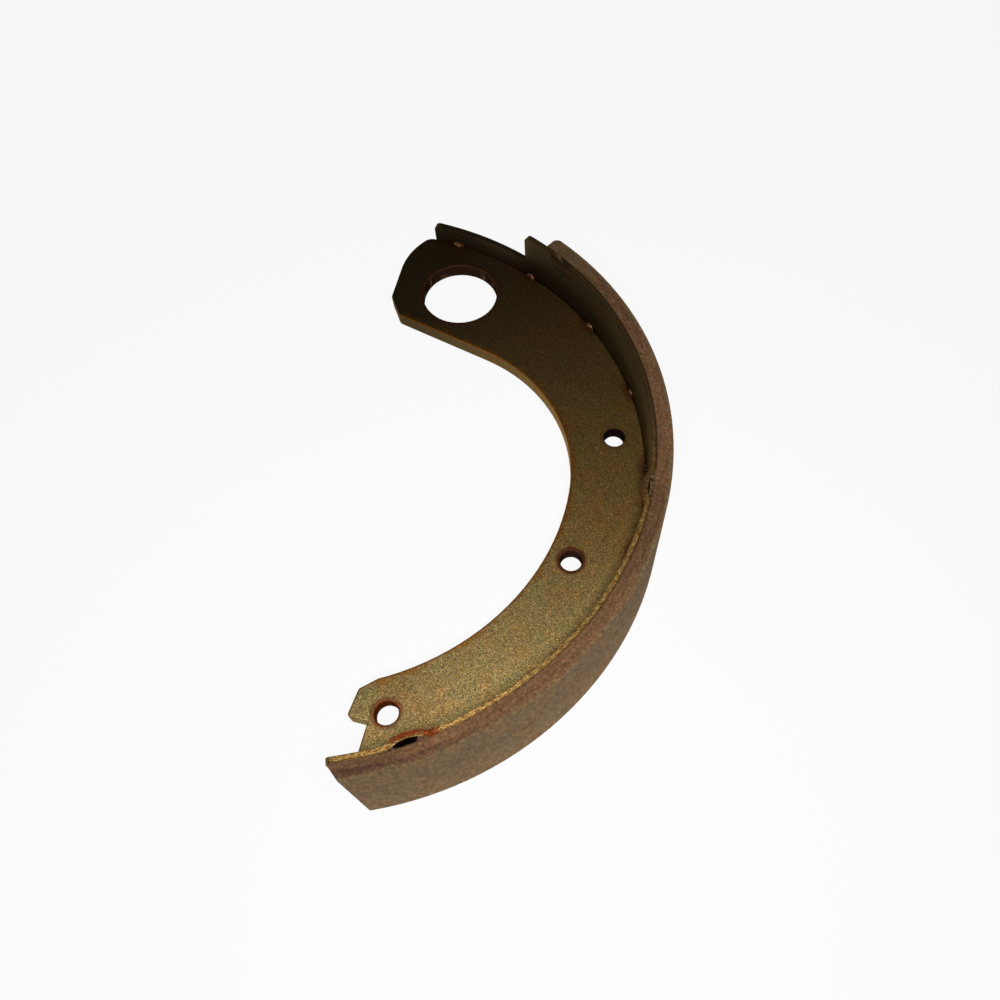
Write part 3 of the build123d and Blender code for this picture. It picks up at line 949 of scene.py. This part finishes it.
def finish_card():
    finish, tree, _ = new_finish("white_card")
    rays = put(tree, "ShaderNodeLightPath").outputs
    seen = calc(tree, "MAXIMUM", rays["Is Camera Ray"], mirrored_or_clear(tree, rays))
    paper = put(tree, "ShaderNodeBsdfDiffuse", {"Color": (CARD_GREY, CARD_GREY, CARD_GREY, 1.0)})
    white = put(tree, "ShaderNodeEmission", {"Color": (1.0, 1.0, 1.0, 1.0), "Strength": 1.0})
    share = calc(tree, "MULTIPLY", seen, WHITE_SHARE)
    inputs = {0: share, 1: paper.outputs[0], 2: white.outputs[0]}
    finish_with(tree, put(tree, "ShaderNodeMixShader", inputs))
    return finish


corners = [(x * CARD_HALF, y * CARD_HALF, 0) for x, y in ((-1, -1), (1, -1), (1, 1), (-1, 1))]
card_mesh = bpy.data.meshes.new("card")
card_mesh.from_pydata(corners, [], [(0, 1, 2, 3)])
card = bpy.data.objects.new("card", card_mesh)
bpy.context.scene.collection.objects.link(card)
card.data.materials.append(finish_card())
card.location.z = -CARD_DROP
print("card:", 2 * CARD_HALF, "m square")

# %% The room round it
# light from above, from the pale backdrop low down, and from it as the metal mirrors it
ROOM_LIGHT, BACKDROP_LIGHT, MIRRORED_LIGHT = 0.02, 0.30, 0.6

room = bpy.data.worlds.new("room")
bpy.context.scene.world = room
room.use_nodes = True
room_tree = room.node_tree
room_rays = put(room_tree, "ShaderNodeLightPath").outputs
direction = put(room_tree, "ShaderNodeTexCoord").outputs["Generated"]
backdrop = fade(room_tree, parts_of(room_tree, direction)[2], 0.45, 0.10)
mirrored = times(room_tree, backdrop, mirrored_or_clear(room_tree, room_rays), MIRRORED_LIGHT)
level = calc(room_tree, "ADD", ROOM_LIGHT, calc(room_tree, "MULTIPLY", backdrop, BACKDROP_LIGHT))
for other in (mirrored, room_rays["Is Camera Ray"]):
    level = calc(room_tree, "MAXIMUM", level, other)
background = room_tree.nodes["Background"]
background.inputs["Color"].default_value = (1.0, 1.0, 1.0, 1.0)
room_tree.links.new(level, background.inputs["Strength"])
print("room:", room.name)

# %% Camera
CAMERA_PLACE = (0.14043, -0.10831, 0.28410)
CAMERA_TURNS = (26.3601, -2.6645, 25.9587)
camera = bpy.data.objects.new("camera", bpy.data.cameras.new("camera"))
bpy.context.scene.collection.objects.link(camera)
camera.location = CAMERA_PLACE
camera.rotation_euler = [math.radians(turn) for turn in CAMERA_TURNS]
camera.data.sensor_width, camera.data.lens = 36.0, 31.2634
camera.data.shift_x, camera.data.shift_y = -0.10, 0.045
camera.data.clip_start = 0.01
bpy.context.scene.camera = camera
bpy.context.scene.view_settings.view_transform = "Standard"
print("camera at", CAMERA_PLACE, "lens", camera.data.lens)

# %% Lamp
LAMP_PLACE, SHOE_MIDDLE = (0.150, -0.120, 0.300), (0.060, 0.010, 0.022)
flash = bpy.data.lights.new("flash", "AREA")
flash.shape, flash.size, flash.energy = "DISK", 0.09, 1.0
lamp = bpy.data.objects.new("flash", flash)
bpy.context.scene.collection.objects.link(lamp)
lamp.location = LAMP_PLACE
lamp.rotation_euler = (Vector(SHOE_MIDDLE) - lamp.location).to_track_quat("-Z", "Y").to_euler()
print("lamp:", flash.energy, "W across", flash.size, "m")
